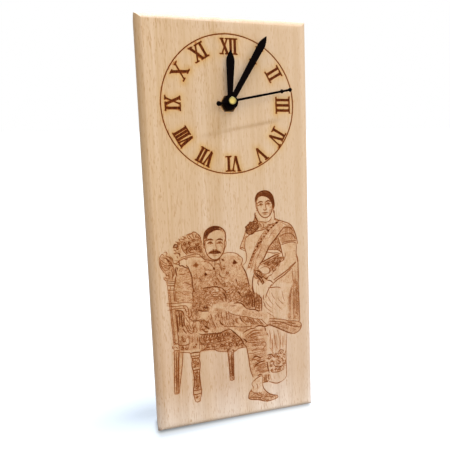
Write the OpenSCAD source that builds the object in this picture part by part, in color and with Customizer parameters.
// Engraved wooden clock: a bevelled beech board that leans back on a peg, with a
// battery quartz movement in a pocket behind the dial and three hands in front of it.
// Millimetres, +Z up. The board faces -Y. The origin is the middle of the footprint.

/* [Board] */
// Width of the board
board_w = 127; // [110:1:180]
// Height of the board, measured along its face
board_h = 305; // [280:1:400]
// Thickness of the board
board_t = 20; // [19.5:0.5:28]
// Width and depth of the rounded bevel round the face
bevel = 5.5; // [3:0.5:8]
// Radius that the bevel bulges to
bevel_r = 9; // [8:0.5:14]
// Angle at which the board leans back, in degrees
lean = 9.4; // [6:0.2:12]
// Distance of the hands' axis below the top edge
shaft_drop = 62; // [55:1:75]

/* [Peg] */
// Diameter of the wooden peg that props the board
peg_d = 10; // [8:0.5:14]
// Length of the peg behind the board
peg_reach = 60; // [55:1:75]
// Depth of the peg's socket in the board
peg_seat = 12; // [8:0.5:14]
// Chamfer on the peg's ends
peg_chamfer = 1; // [0.5:0.1:1.5]

/* [Movement case] */
// Width and height of the movement's square case
case_w = 56; // [55:0.5:60]
// Corner radius of the case
case_corner = 3; // [1.5:0.5:4]
// Thickness of the case's side walls
case_wall = 1.2; // [0.8:0.1:1.4]
// Thickness of the case's front plate
case_plate = 1.2; // [1:0.1:1.5]
// Thickness of the rear cover
cover_t = 1.2; // [1:0.1:1.4]
// Thickness of the plate between the two groups of wheels
middle_t = 1; // [0.8:0.1:1.2]
// Height of the hanging tab above the case
hanger_h = 11; // [10:0.5:14]
// Width of the hanging tab
hanger_w = 20; // [17:0.5:22]
// Thickness of the hanging tab
hanger_t = 1.6; // [1.4:0.1:2]
// Diameter of the nail hole in the hanging tab
hanger_hole_d = 6; // [5:0.5:7]
// Space round the case in the board's pocket
pocket_gap = 1.5; // [1:0.1:2]

/* [Battery] */
// Diameter of the battery as a share of its length
battery_slim_share = 0.29; // [0.28:0.002:0.3]
// Room for the bowed spring at the battery's flat end
leaf_room = 2.8; // [2.4:0.1:3.4]
// Height of the battery's button
button_h = 1.2; // [1:0.1:1.5]

/* [Shaft] */
// Outer diameter of the threaded bush
bush_d = 8; // [7.6:0.1:8.4]
// Length of the bush in front of the dial
bush_proud = 4; // [3.6:0.1:5]
// Outer diameter of the hour pipe
hour_pipe_d = 5; // [4.8:0.1:5.4]
// Outer diameter of the minute pipe
minute_pipe_d = 3; // [2.6:0.1:3.4]
// Diameter of the second hand's arbor
arbor_d = 1; // [0.8:0.1:1.2]
// Running clearance between the pipes and arbors, on the radius
run_clear = 0.05; // [0.03:0.01:0.08]
// Width of the nut across its flats
nut_flats = 11; // [10.5:0.5:13]
// Thickness of the nut
nut_t = 2.2; // [1.8:0.1:2.6]
// Diameter of the brass washer
washer_d = 13.4; // [13:0.1:16]
// Thickness of the brass washer
washer_t = 0.5; // [0.4:0.1:0.7]
// Diameter of the rubber gasket between case and board
gasket_d = 24; // [20:1:30]
// Thickness of the rubber gasket
gasket_t = 0.8; // [0.6:0.1:1]

/* [Hands] */
// Angle of the minute hand past twelve, in degrees; the other hands follow from it
shown_angle = 31.32; // [0:0.06:180]
// Thickness of the hour and minute hands
hand_t = 0.5; // [0.4:0.1:0.6]
// Diameter of the round eye of the hour and minute hands
eye_d = 10.4; // [9:0.2:12]
// Length of the hour hand from the axis
hour_len = 36.5; // [30:0.5:40]
// Greatest width of the hour hand
hour_w = 6.2; // [5:0.2:8]
// Length of the minute hand from the axis
minute_len = 53.5; // [48:0.5:58]
// Greatest width of the minute hand
minute_w = 5.4; // [4.4:0.2:6]
// Length of the second hand from the axis
second_len = 46.3; // [40:0.5:52]
// Length of the second hand's tail
second_tail = 10; // [9:0.5:12]
// Diameter of the second hand's rod
second_rod_d = 1.3; // [1:0.1:1.5]
// Diameter of the ball on the second hand's tail
tail_ball_d = 3.4; // [3:0.1:4]
// Diameter of the beads near the second hand's tip
bead_d = 2.2; // [1.8:0.1:2.6]
// Diameter of the brass cap over the second hand
cap_d = 6; // [5:0.2:7]

/* [Wheels] */
// Distance from the rotor to the intermediate wheel, as a share of the case's width
rotor_reach_share = 0.125; // [0.122:0.001:0.13]
// Distance from the intermediate wheel to the centre, as a share of the case's width
inter_reach_share = 0.134; // [0.131:0.001:0.138]
// Distance from the third wheel to the centre, as a share of the case's width
third_reach_share = 0.161; // [0.156:0.001:0.165]
// Distance from the motion wheel to the centre, as a share of the case's width
motion_reach_share = 0.134; // [0.131:0.001:0.137]
// Thickness of the setting wheels
wheel_t = 1.2; // [1:0.1:1.3]
// Thickness of the running wheels
thin_t = 0.9; // [0.8:0.05:1]
// Gap between one layer of wheels and the next
layer_gap = 0.35; // [0.25:0.05:0.4]
// Diameter of the setting knob
knob_d = 9; // [8:0.5:10]
// Thickness of the setting knob
knob_t = 2.6; // [2:0.1:3]
// Diameter of the setting knob's shaft
knob_shaft_d = 2.4; // [2:0.1:2.6]

/* [Hidden] */

wood = "burlywood";
dowel = "peru";
black_plastic = "dimgray";
natural_plastic = "ivory";
brass = "goldenrod";
steel = "lightsteelblue";
copper = "sienna";
black_metal = "black";

// Smoothness of round shapes, one overrun for every cut, and the fits
round_fn = 64;
small_fn = 32;
over = 1;
press_clear = 0.01;
glue_clear = 0.05;
seat_clear = 0.1;

// Where the board stands: its rear bottom edge and the peg's end both meet the floor
peg_r = peg_d / 2;
peg_y = peg_r + (peg_reach - peg_chamfer) * tan(lean);
shaft_y = board_h - shaft_drop;
front_reach = board_t * cos(lean) - bevel * sin(lean);
peg_back = peg_reach * cos(lean) + (peg_y + peg_r - peg_chamfer) * sin(lean);
rear_reach = max(board_h * sin(lean), peg_back);
stand_shift = (front_reach - rear_reach) / 2;
bevel_c = bevel / 2 + sqrt(bevel_r * bevel_r / 2 - bevel * bevel / 4);

// Tooth counts of the going train and of the setting train
rotor_teeth = 8;
inter_teeth = 48;
inter_pinion_teeth = 10;
second_teeth = 50;
second_pinion_teeth = 8;
third_teeth = 64;
third_pinion_teeth = 8;
centre_teeth = 60;
cannon_teeth = 12;
motion_teeth = 36;
motion_pinion_teeth = 10;
hour_teeth = 40;
set_teeth = 16;

// Tooth form: pressure angle, then shares of the module
pressure = 20;
shift_share = 0.4;
pinion_top_share = 1.2;
wheel_top_share = 0.45;
root_clear_share = 0.25;
play_share = 0.1;

// Directions from one axis to the next, seen from the front
inter_dir = 150;
rotor_dir = 120;
third_dir = 40;
motion_dir = -20;
set_dir = 10;

function module_of(reach, a, b) = 2 * reach / (a + b);
function toward(reach, dir) = reach * [cos(dir), sin(dir)];

rotor_reach = case_w * rotor_reach_share;
inter_reach = case_w * inter_reach_share;
third_reach = case_w * third_reach_share;
motion_reach = case_w * motion_reach_share;
rotor_m = module_of(rotor_reach, rotor_teeth, inter_teeth);
inter_m = module_of(inter_reach, inter_pinion_teeth, second_teeth);
second_m = module_of(third_reach, second_pinion_teeth, third_teeth);
third_m = module_of(third_reach, third_pinion_teeth, centre_teeth);
cannon_m = module_of(motion_reach, cannon_teeth, motion_teeth);
motion_m = module_of(motion_reach, motion_pinion_teeth, hour_teeth);
set_reach = cannon_m * (motion_teeth + set_teeth) / 2;

inter_xy = toward(inter_reach, inter_dir);
rotor_xy = inter_xy + toward(rotor_reach, rotor_dir);
third_xy = toward(third_reach, third_dir);
motion_xy = toward(motion_reach, motion_dir);
set_xy = motion_xy + toward(set_reach, set_dir);

// Depths are negative: they run back from the dial's face at zero. The wheels, the
// two plates and the setting knob stack up to the depth of the case
rim_sink = 0.4;
works_depth = 8 * layer_gap + 2 * wheel_t + 4 * thin_t + middle_t;
case_depth = case_plate + works_depth + cover_t + layer_gap + knob_t + seat_clear;
dial_wall = board_t - gasket_t - case_depth - rim_sink;
case_face = -(dial_wall + gasket_t);
plate_in = case_face - case_plate;
rim_z = case_face - case_depth;
hour_z = plate_in - layer_gap - wheel_t;
cannon_z = hour_z - layer_gap - wheel_t;
centre_z = cannon_z - layer_gap - thin_t;
third_z = centre_z - layer_gap - thin_t;
middle_z = third_z - layer_gap - middle_t;
second_z = middle_z - layer_gap - thin_t;
inter_z = second_z - layer_gap - thin_t;
cover_in = inter_z - layer_gap;
cover_out = cover_in - cover_t;

// Radii of the bush, pipes, pivots, posts and pillars
bush_r = bush_d / 2;
bush_hole_clear = 0.3;
bush_flange_t = 0.5;
bush_flange_w = 1.7;
bush_flange_r = bush_r + bush_flange_w;
hour_pipe_r = hour_pipe_d / 2;
minute_pipe_r = minute_pipe_d / 2;
arbor_r = arbor_d / 2;
knob_shaft_r = knob_shaft_d / 2;
pivot_r = 0.35;
pivot_seat_share = 0.8;
third_post_r = 1.3;
motion_post_r = 0.75;
pillar_r = 2;
pillar_pin_r = 0.9;

// Heights of the hands in front of the dial
collet_h = 1.2;
collet_wall = 0.8;
collet_gap = 0.4;
hand_air = 0.8;
hour_hand_z = bush_proud + collet_gap + collet_h;
minute_hand_z = hour_hand_z + hand_t + hand_air + collet_h;
second_hand_z = minute_hand_z + hand_t + hand_air + collet_h;
second_rod_r = second_rod_d / 2;
second_hub_r = 2.4;
second_hub_top = second_hand_z + second_rod_d + run_clear;
cap_t = 1.3;
cap_round = 0.5;

hours_on_dial = 12;
minutes_in_hour = 60;

// Outlines of the flat hands: share of the length, share of the half width
hour_shape_shares = [[0, 0.6], [0.78, 1], [0.85, 0.88], [0.93, 0.48], [1, 0]];
minute_shape_shares = [[0, 0.76], [0.87, 1], [0.925, 0.72], [0.97, 0.34], [1, 0]];
bead_place_share = 0.835;
rod_tip_share = 0.75;
tail_neck_share = 0.7;

// Inside of the case: battery bay below, works above
works_half = case_w / 2 - case_wall;
inner_corner = case_corner - case_wall;
contact_t = 0.3;
contact_half = 3.5;
leaf_half = 5;
button_d = 5.5;
battery_gap = 0.15;
battery_side_gap = 0.3;
battery_len = 2 * (works_half - contact_t) - button_h - leaf_room;
battery_d = battery_len * battery_slim_share;
battery_right = works_half - contact_t - button_h;
battery_left = battery_right - battery_len;
bay_top = battery_d + 2 * battery_side_gap - works_half;
divider_top = bay_top + case_wall;
battery_y = (bay_top - works_half) / 2;
battery_z = plate_in - battery_gap - battery_d / 2;
coil_room_share = 0.52;
coil_room = works_half * coil_room_share;
pillar_x = works_half - case_wall - pillar_r;
pillar_low_y = divider_top + 2 * contact_t + pillar_r;
pillar_high_y = works_half - coil_room;
tab_top = case_w / 2 + hanger_h;
hanger_hole_y = tab_top - hanger_h / 2;

// Motor: the coil lies across the top of the works, the stator runs from it to the rotor.
// Its shares are of half the room inside the case
core_t = 0.8;
core_w = 2.4;
bobbin_r = 1.6;
coil_r = 2.5;
coil_len_share = 0.75;
coil_len = works_half * coil_len_share;
flange_t = 0.8;
flange_half = 2.7;
arm_w = 3.4;
coil_place_share = -0.15;
coil_x = works_half * coil_place_share;
coil_y = works_half - coil_room / 2;
core_z = middle_z + core_t / 2;
core_end = coil_len / 2 + flange_t + seat_clear + arm_w / 2;
elbow_y = coil_y - flange_half - arm_w;
magnet_r = 1.8;
rotor_sleeve_r = 0.8;
stator_hole_r = 2.3;
stator_ring_r = 4.2;

// Circuit board at the right of the works, with shares of the same half
pcb_t = 0.8;
pcb_corner_shares = [0.43, 0.13];
pcb_left = works_half * pcb_corner_shares[0];
pcb_low = works_half * pcb_corner_shares[1];
pcb_z = middle_z - pcb_t;
chip_shares = [0.635, 0.32];
chip_xy = works_half * chip_shares;
chip_r = 3;
chip_h = 0.9;
crystal_r = 0.75;
crystal_len = 5;
crystal_shares = [0.635, 0.67];
crystal_xy = works_half * crystal_shares;
knob_flutes = 24;
knob_groove_depth = 0.4;

module stood() {
  translate([0, stand_shift, 0]) rotate([-lean, 0, 0]) translate([0, -board_t, 0])
    rotate([90, 0, 0]) children();
}

module on_axis(xy = [0, 0]) {
  stood() translate([xy[0], shaft_y + xy[1], 0]) children();
}

module slab(low, high) {
  translate([0, 0, low]) linear_extrude(height = high - low) children();
}

module rod(r, low, high) {
  translate([0, 0, low]) cylinder(r = r, h = high - low, $fn = round_fn);
}

module tube(outer_r, inner_r, low, high) {
  difference() {
    rod(outer_r, low, high);
    rod(inner_r, low - over, high + over);
  }
}

module rounded_square(w, h, r) {
  square([w - 2 * r, h], center = true);
  square([w, h - 2 * r], center = true);
  for (x = [-1, 1], y = [-1, 1])
    translate([x * (w / 2 - r), y * (h / 2 - r)]) circle(r = r, $fn = small_fn);
}

module strap(from, to, w) {
  run = to - from;
  translate(from) rotate(atan2(run[1], run[0])) {
    translate([0, -w / 2]) square([norm(run), w]);
    circle(d = w, $fn = small_fn);
    translate([norm(run), 0]) circle(d = w, $fn = small_fn);
  }
}

// Involute teeth as points: each flank has three, and below the base circle it is radial
function involute(a) = tan(a) * 180 / PI - a;
function base_r(teeth, m) = teeth * m * cos(pressure) / 2;
function flank(teeth, m, shift, r) =
  let (a = r > base_r(teeth, m) ? acos(base_r(teeth, m) / r) : 0)
  (90 + (2 * shift * tan(pressure) - play_share) * 180 / PI) / teeth + involute(pressure) - involute(a);
function polar(r, a) = [r * cos(a), r * sin(a)];
function gear_points(teeth, m, shift, top, root) =
  let (tip_r = (teeth / 2 + top) * m, root_r = (teeth / 2 - root) * m)
  let (low_r = max(base_r(teeth, m), root_r), mid_r = (low_r + tip_r) / 2)
  let (low = flank(teeth, m, shift, low_r), mid = flank(teeth, m, shift, mid_r))
  let (tip = flank(teeth, m, shift, tip_r))
  [for (i = [0:teeth - 1]) let (c = 360 * i / teeth) each [
    if (root_r < low_r) polar(root_r, c - low),
    polar(low_r, c - low), polar(mid_r, c - mid), polar(tip_r, c - tip),
    polar(tip_r, c + tip), polar(mid_r, c + mid), polar(low_r, c + low),
    if (root_r < low_r) polar(root_r, c + low)]];

module wheel_teeth(teeth, m) {
  polygon(gear_points(teeth, m, -shift_share, wheel_top_share, pinion_top_share + root_clear_share));
}

module pinion_teeth(teeth, m) {
  polygon(gear_points(teeth, m, shift_share, pinion_top_share, wheel_top_share + root_clear_share));
}

// Turn of the second gear that puts one of its gaps opposite a tooth of the first
function mesh_turn(first_turn, first_teeth, dir, next_teeth) =
  dir + 180 - (180 - (dir - first_turn) * first_teeth) / next_teeth;

inter_pinion_turn = mesh_turn(0, second_teeth, inter_dir, inter_pinion_teeth);
rotor_turn = mesh_turn(0, inter_teeth, rotor_dir, rotor_teeth);
third_turn = mesh_turn(0, second_pinion_teeth, third_dir, third_teeth);
third_pinion_turn = mesh_turn(0, centre_teeth, third_dir, third_pinion_teeth);
motion_turn = mesh_turn(0, cannon_teeth, motion_dir, motion_teeth);
motion_pinion_turn = mesh_turn(0, hour_teeth, motion_dir, motion_pinion_teeth);
set_turn = mesh_turn(motion_turn, motion_teeth, set_dir, set_teeth);

// What the bevel takes off one edge of the face
module bevel_cut() {
  difference() {
    translate([-over, -over]) square([bevel + over, bevel + over]);
    translate([bevel_c, bevel_c]) circle(r = bevel_r, $fn = round_fn);
  }
}

module board_section(across) {
  difference() {
    translate([-across / 2, 0]) square([across, board_t]);
    for (side = [0, 1]) mirror([side, 0]) translate([-across / 2, 0]) bevel_cut();
  }
}

// Board with the movement's pocket, the shaft's hole and the peg's socket
module board() {
  pocket_w = case_w + 2 * pocket_gap;
  tab_w = hanger_w + 2 * pocket_gap;
  color(wood) difference() {
    stood() translate([0, board_h / 2, 0]) intersection() {
      rotate([-90, 0, 0]) linear_extrude(height = board_h, center = true) board_section(board_w);
      rotate([0, 0, 90]) rotate([-90, 0, 0])
        linear_extrude(height = board_w, center = true) board_section(board_h);
    }
    on_axis() {
      slab(-board_t - over, -dial_wall) rounded_square(pocket_w, pocket_w, case_corner + pocket_gap);
      slab(-board_t - over, plate_in) translate([-tab_w / 2, 0]) square([tab_w, tab_top + pocket_gap]);
      rod(bush_r + bush_hole_clear, -board_t, over);
    }
    stood() translate([0, peg_y, 0]) rod(peg_r + glue_clear, -board_t - over, peg_seat - board_t);
  }
}

module stand_peg() {
  whole = peg_reach + peg_seat - seat_clear;
  slim_r = peg_r - peg_chamfer;
  color(dowel) stood() translate([0, peg_y, -board_t - peg_reach]) rotate_extrude($fn = round_fn)
    polygon([[0, 0], [slim_r, 0], [peg_r, peg_chamfer], [peg_r, whole - peg_chamfer],
      [slim_r, whole], [0, whole]]);
}

module pillar_places() {
  for (x = [-1, 1], y = [pillar_low_y, pillar_high_y]) translate([x * pillar_x, y]) children();
}

// Front shell: plate, walls, divider, pivot posts, pillars and the tab it hangs by
module movement_case() {
  post_end = centre_z + thin_t + layer_gap / 2;
  slot = 2 * contact_t;
  color(black_plastic) on_axis() difference() {
    union() {
      slab(plate_in, case_face) rounded_square(case_w, case_w, case_corner);
      slab(rim_z, plate_in) difference() {
        rounded_square(case_w, case_w, case_corner);
        rounded_square(2 * works_half, 2 * works_half, inner_corner);
      }
      slab(cover_in, plate_in) translate([-works_half, bay_top]) square([2 * works_half, case_wall]);
      slab(middle_z + middle_t, plate_in) pillar_places() circle(r = pillar_r, $fn = small_fn);
      slab(cover_out, plate_in) pillar_places() circle(r = pillar_pin_r, $fn = small_fn);
      translate(third_xy) rod(third_post_r, post_end, plate_in);
      translate(motion_xy) rod(motion_post_r, cannon_z, plate_in);
      slab(rim_z, rim_z + hanger_t) translate([0, case_w / 2])
        rounded_square(hanger_w, 2 * hanger_h, case_corner);
    }
    slab(rim_z - over, rim_z + hanger_t + over)
      rounded_square(2 * works_half, 2 * works_half, inner_corner);
    rod(bush_r + press_clear, plate_in - over, case_face + over);
    rod(bush_flange_r + press_clear, plate_in - over, plate_in + bush_flange_t);
    translate(third_xy)
      rod(pivot_r + run_clear, post_end - over, post_end + third_post_r);
    translate(set_xy) rod(knob_shaft_r + run_clear, plate_in - over, plate_in + case_plate / 2);
    translate([0, hanger_hole_y]) rod(hanger_hole_d / 2, rim_z - over, rim_z + hanger_t + over);
    for (x = [-1, 1]) slab(cover_in - over, pcb_z + press_clear)
      translate([x * (works_half - slot / 2), bay_top + case_wall / 2])
      square([slot, case_wall + 2 * press_clear], center = true);
  }
}

// Rear cover of the works, with bearings for the arbors and bosses round the pillars' pins
module movement_cover() {
  cover_h = works_half - seat_clear - bay_top;
  cover_w = 2 * (works_half - seat_clear);
  pivot_hole = pivot_r + run_clear;
  color(black_plastic) on_axis() difference() {
    union() {
      slab(cover_out, cover_in) translate([0, bay_top + cover_h / 2])
        rounded_square(cover_w, cover_h, case_corner);
      slab(cover_in, middle_z) pillar_places() circle(r = pillar_r, $fn = small_fn);
    }
    slab(cover_out - over, middle_z + over) pillar_places()
      circle(r = pillar_pin_r + press_clear, $fn = small_fn);
    rod(arbor_r + run_clear, cover_out - over, cover_in + over);
    translate(inter_xy) rod(pivot_hole, cover_out - over, cover_in + over);
    translate(rotor_xy) rod(pivot_hole, cover_out - over, cover_in + over);
    translate(set_xy) rod(knob_shaft_r + run_clear, cover_out - over, cover_in + over);
  }
}

// Plate that carries the pivots between the two groups of wheels
module middle_plate() {
  plate_w = 2 * (pillar_x + pillar_r);
  plate_low = pillar_low_y - pillar_r;
  plate_h = pillar_high_y + pillar_r - plate_low;
  pivot_hole = pivot_r + run_clear;
  second_tip = (second_pinion_teeth / 2 + pinion_top_share) * second_m;
  low = middle_z - over;
  high = middle_z + middle_t + over;
  color(natural_plastic) on_axis() difference() {
    slab(middle_z, middle_z + middle_t) translate([0, plate_low + plate_h / 2])
      rounded_square(plate_w, plate_h, pillar_r);
    slab(low, high) pillar_places() circle(r = pillar_pin_r + press_clear, $fn = small_fn);
    rod(second_tip + layer_gap, low, high);
    for (xy = [inter_xy, rotor_xy, third_xy]) translate(xy) rod(pivot_hole, low, high);
    translate(set_xy) rod(knob_shaft_r + layer_gap, low, high);
  }
}

module shaft_bush() {
  color(brass) on_axis() difference() {
    union() {
      rod(bush_r, plate_in, bush_proud);
      rod(bush_flange_r, plate_in, plate_in + bush_flange_t);
    }
    rod(hour_pipe_r + run_clear, plate_in - over, bush_proud + over);
  }
}

module rubber_gasket() {
  color("black") on_axis() tube(gasket_d / 2, bush_r + seat_clear, case_face, -dial_wall);
}

module brass_washer() {
  color(brass) on_axis() tube(washer_d / 2, bush_r + seat_clear, 0, washer_t);
}

module hex_nut() {
  corner_r = nut_flats / sqrt(3);
  color(brass) on_axis() difference() {
    translate([0, 0, washer_t]) cylinder(r = corner_r, h = nut_t, $fn = 6);
    rod(bush_r + press_clear, 0, washer_t + nut_t + over);
  }
}

module hour_wheel() {
  color(natural_plastic) on_axis() difference() {
    union() {
      slab(hour_z, hour_z + wheel_t) wheel_teeth(hour_teeth, motion_m);
      rod(hour_pipe_r, hour_z, hour_hand_z + hand_t);
    }
    rod(minute_pipe_r + run_clear, hour_z - over, hour_hand_z + hand_t + over);
  }
}

module motion_wheel() {
  color(natural_plastic) on_axis(motion_xy) difference() {
    union() {
      slab(cannon_z, cannon_z + wheel_t) rotate(motion_turn) wheel_teeth(motion_teeth, cannon_m);
      slab(cannon_z, hour_z + wheel_t) rotate(motion_pinion_turn)
        pinion_teeth(motion_pinion_teeth, motion_m);
    }
    rod(motion_post_r + run_clear, cannon_z - over, plate_in);
  }
}

// Pipe that carries the minute hand, with the cannon pinion that drives the motion wheel
module minute_pipe() {
  color(brass) on_axis() difference() {
    union() {
      rod(minute_pipe_r, centre_z, minute_hand_z + hand_t);
      slab(cannon_z, cannon_z + wheel_t) pinion_teeth(cannon_teeth, cannon_m);
    }
    rod(arbor_r + run_clear, centre_z - over, minute_hand_z + hand_t + over);
  }
}

// Wheel that turns the minute pipe by friction, so the hands can be set against it
module centre_wheel() {
  color(brass) on_axis() difference() {
    slab(centre_z, centre_z + thin_t) wheel_teeth(centre_teeth, third_m);
    rod(minute_pipe_r + run_clear, centre_z - over, centre_z + thin_t + over);
  }
}

module third_wheel() {
  front_pivot = centre_z + thin_t + layer_gap / 2 + third_post_r * pivot_seat_share;
  rear_pivot = middle_z + middle_t * (1 - pivot_seat_share);
  color(natural_plastic) on_axis(third_xy) {
    slab(third_z, third_z + thin_t) rotate(third_turn) wheel_teeth(third_teeth, second_m);
    slab(third_z, centre_z + thin_t) rotate(third_pinion_turn) pinion_teeth(third_pinion_teeth, third_m);
    rod(pivot_r, rear_pivot, front_pivot);
  }
}

module second_wheel() {
  color(natural_plastic) on_axis() difference() {
    union() {
      slab(second_z, second_z + thin_t) wheel_teeth(second_teeth, inter_m);
      slab(second_z, third_z + thin_t) pinion_teeth(second_pinion_teeth, second_m);
    }
    rod(arbor_r + press_clear, second_z - over, third_z + thin_t + over);
  }
}

module second_arbor() {
  color(steel) on_axis()
    rod(arbor_r, cover_in - cover_t * pivot_seat_share, second_hub_top);
}

module intermediate_wheel() {
  rear_pivot = cover_in - cover_t * pivot_seat_share;
  front_pivot = middle_z + middle_t * pivot_seat_share;
  color(natural_plastic) on_axis(inter_xy) {
    slab(inter_z, inter_z + thin_t) wheel_teeth(inter_teeth, rotor_m);
    slab(inter_z, second_z + thin_t) rotate(inter_pinion_turn)
      pinion_teeth(inter_pinion_teeth, inter_m);
    rod(pivot_r, rear_pivot, front_pivot);
  }
}

module rotor_pinion() {
  rear_pivot = cover_in - cover_t * pivot_seat_share;
  front_pivot = middle_z + middle_t * pivot_seat_share;
  color(natural_plastic) on_axis(rotor_xy) {
    slab(inter_z, inter_z + thin_t) rotate(rotor_turn) pinion_teeth(rotor_teeth, rotor_m);
    rod(rotor_sleeve_r, inter_z, middle_z - layer_gap / 2);
    rod(pivot_r, rear_pivot, front_pivot);
  }
}

module rotor_magnet() {
  color(steel) on_axis(rotor_xy)
    tube(magnet_r, rotor_sleeve_r + press_clear, second_z, middle_z - layer_gap / 2);
}

// Flat iron round the rotor, with an elbowed arm to each end of the coil
module stator_arm(arm_x) {
  strap(rotor_xy, [arm_x, elbow_y], arm_w);
  strap([arm_x, elbow_y], [arm_x, coil_y], arm_w);
}

module stator() {
  color(steel) on_axis() slab(middle_z - core_t, middle_z) difference() {
    union() {
      translate(rotor_xy) circle(r = stator_ring_r, $fn = round_fn);
      for (side = [-1, 1]) stator_arm(coil_x + side * core_end);
    }
    translate(rotor_xy) circle(r = stator_hole_r, $fn = round_fn);
  }
}

module coil_core() {
  color(steel) on_axis() translate([coil_x, coil_y]) slab(middle_z, middle_z + core_t)
    square([2 * core_end + arm_w / 2, core_w], center = true);
}

module along_coil() {
  on_axis() translate([coil_x, coil_y, core_z]) rotate([0, 90, 0]) children();
}

module coil_bobbin() {
  half = coil_len / 2;
  color(black_plastic) along_coil() difference() {
    union() {
      rod(bobbin_r, -half, half);
      for (low = [-half - flange_t, half]) slab(low, low + flange_t)
        square(2 * flange_half, center = true);
    }
    slab(-core_end, core_end)
      square([core_t + 2 * press_clear, core_w + 2 * press_clear], center = true);
  }
}

module coil_winding() {
  color(copper) along_coil() tube(coil_r, bobbin_r + press_clear, -coil_len / 2, coil_len / 2);
}

module circuit_board() {
  pcb_right = works_half - contact_t;
  pcb_w = pcb_right - pcb_left;
  pcb_h = works_half - inner_corner - pcb_low;
  color("seagreen") on_axis() slab(pcb_z, middle_z) difference() {
    translate([pcb_left, pcb_low]) square([pcb_w, pcb_h]);
    translate([pillar_x, pillar_high_y]) circle(r = pillar_r + seat_clear, $fn = small_fn);
  }
}

module chip_cover() {
  dome_r = (chip_r * chip_r + chip_h * chip_h) / (2 * chip_h);
  color("black") on_axis(chip_xy) intersection() {
    translate([0, 0, pcb_z - chip_h + dome_r]) sphere(r = dome_r, $fn = round_fn);
    rod(chip_r + over, pcb_z - chip_h - over, pcb_z);
  }
}

module quartz_crystal() {
  color(steel) on_axis(crystal_xy) translate([0, 0, pcb_z - crystal_r]) rotate([-90, 0, 0])
    cylinder(r = crystal_r, h = crystal_len, $fn = small_fn);
}

module battery_cell() {
  color("slategray") on_axis([0, battery_y]) translate([battery_left, 0, battery_z])
    rotate([0, 90, 0]) {
      cylinder(d = battery_d, h = battery_len, $fn = round_fn);
      translate([0, 0, battery_len]) cylinder(d = button_d, h = button_h, $fn = small_fn);
    }
}

// Plate at the battery's button, with a tongue that runs up the wall to the circuit board
module contact_plus() {
  color(brass) on_axis() translate([works_half - contact_t, 0]) {
    slab(battery_z - contact_half, battery_z + contact_half)
      translate([0, battery_y - contact_half]) square([contact_t, 2 * contact_half]);
    slab(cover_in + seat_clear, pcb_z)
      translate([0, battery_y]) square([contact_t, pcb_low + contact_half - battery_y]);
  }
}

// Bowed leaf at the battery's flat end, with a tongue along the divider to the circuit board
module contact_minus() {
  rise = leaf_room - seat_clear;
  leaf_r = (leaf_half * leaf_half + rise * rise) / (2 * rise);
  run_y = divider_top;
  color(brass) on_axis() {
    slab(battery_z - contact_half, battery_z + contact_half) {
      translate([-works_half, battery_y - leaf_half]) square([contact_t, 2 * leaf_half]);
      translate([contact_t - works_half, battery_y]) intersection() {
        translate([rise - leaf_r, 0]) difference() {
          circle(r = leaf_r, $fn = round_fn);
          circle(r = leaf_r - contact_t, $fn = round_fn);
        }
        translate([0, -leaf_half]) square([rise, 2 * leaf_half]);
      }
    }
    slab(cover_in + seat_clear, pcb_z) {
      translate([-works_half, battery_y]) square([contact_t, run_y + contact_t - battery_y]);
      translate([-works_half, run_y]) square([works_half + pcb_left + contact_t, contact_t]);
      translate([pcb_left, run_y]) square([contact_t, pcb_low + contact_half - run_y]);
    }
  }
}

module set_wheel() {
  color(natural_plastic) on_axis(set_xy) slab(cannon_z, cannon_z + wheel_t) difference() {
    rotate(set_turn) pinion_teeth(set_teeth, cannon_m);
    circle(r = knob_shaft_r + press_clear, $fn = small_fn);
  }
}

// Fluted knob behind the cover, with a shaft through to the front plate
module set_knob() {
  knob_r = knob_d / 2;
  knob_low = rim_z + seat_clear;
  flute = [for (i = [0:2 * knob_flutes - 1])
    polar(knob_r - (i % 2) * knob_groove_depth, 180 * i / knob_flutes)];
  color(natural_plastic) on_axis(set_xy) {
    slab(knob_low, knob_low + knob_t) polygon(flute);
    rod(knob_shaft_r, knob_low, plate_in + case_plate / 2 - seat_clear);
  }
}

// Flat hand from its shares, pointing along +Y
module hand_outline(shares, len, w) {
  polygon(concat(
    [for (p = shares) [p[1] * w / 2, p[0] * len]],
    [for (i = [len(shares) - 2:-1:0]) [-shares[i][1] * w / 2, shares[i][0] * len]]));
}

module pointing(angle) {
  on_axis() rotate(-angle) children();
}

module flat_hand(shares, reach, w, low, pipe_r) {
  difference() {
    union() {
      slab(low, low + hand_t) {
        hand_outline(shares, reach, w);
        circle(d = eye_d, $fn = round_fn);
      }
      rod(pipe_r + collet_wall, low - collet_h, low);
    }
    rod(pipe_r + press_clear, low - collet_h - over, low + hand_t + over);
  }
}

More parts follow.
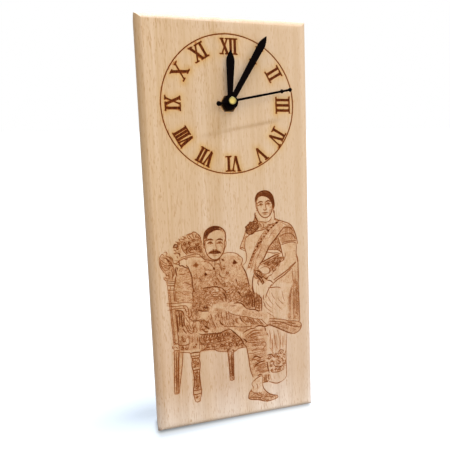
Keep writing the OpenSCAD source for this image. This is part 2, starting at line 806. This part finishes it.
module hour_hand() {
  color(black_metal) pointing(shown_angle / hours_on_dial)
    flat_hand(hour_shape_shares, hour_len, hour_w, hour_hand_z, hour_pipe_r);
}

module minute_hand() {
  color(black_metal) pointing(shown_angle)
    flat_hand(minute_shape_shares, minute_len, minute_w, minute_hand_z, minute_pipe_r);
}

module ball_profile(ball_r, at) {
  translate([0, at]) intersection() {
    circle(r = ball_r, $fn = small_fn);
    translate([0, -ball_r]) square([ball_r, 2 * ball_r]);
  }
}

// Turned rod with two beads at its tip and a ball on its tail
module second_hand() {
  tail_r = tail_ball_d / 2;
  bead_r = bead_d / 2;
  rod_end = second_len - bead_r;
  color(black_metal) pointing(shown_angle * minutes_in_hour) difference() {
    union() {
      translate([0, 0, second_hand_z + second_rod_r]) rotate([-90, 0, 0]) rotate_extrude($fn = small_fn) {
        polygon([[0, -second_tail], [second_rod_r * tail_neck_share, -second_tail], [second_rod_r, 0],
          [second_rod_r * rod_tip_share, rod_end], [0, rod_end]]);
        ball_profile(tail_r, -second_tail);
        ball_profile(bead_r, second_len * bead_place_share);
        ball_profile(bead_r, rod_end);
      }
      rod(second_hub_r, second_hand_z - hand_t, second_hub_top);
    }
    rod(arbor_r + press_clear, second_hand_z - collet_h, second_hub_top + over);
  }
}

module second_cap() {
  cap_r = cap_d / 2;
  color(brass) on_axis() translate([0, 0, second_hub_top]) rotate_extrude($fn = round_fn) {
    square([cap_r, cap_t - cap_round]);
    square([cap_r - cap_round, cap_t]);
    translate([cap_r - cap_round, cap_t - cap_round]) circle(r = cap_round, $fn = small_fn);
  }
}

board();
stand_peg();
movement_case();
movement_cover();
middle_plate();
shaft_bush();
rubber_gasket();
brass_washer();
hex_nut();
hour_wheel();
motion_wheel();
minute_pipe();
centre_wheel();
third_wheel();
second_wheel();
second_arbor();
intermediate_wheel();
rotor_pinion();
rotor_magnet();
stator();
coil_core();
coil_bobbin();
coil_winding();
circuit_board();
chip_cover();
quartz_crystal();
battery_cell();
contact_plus();
contact_minus();
set_wheel();
set_knob();
hour_hand();
minute_hand();
second_hand();
second_cap();
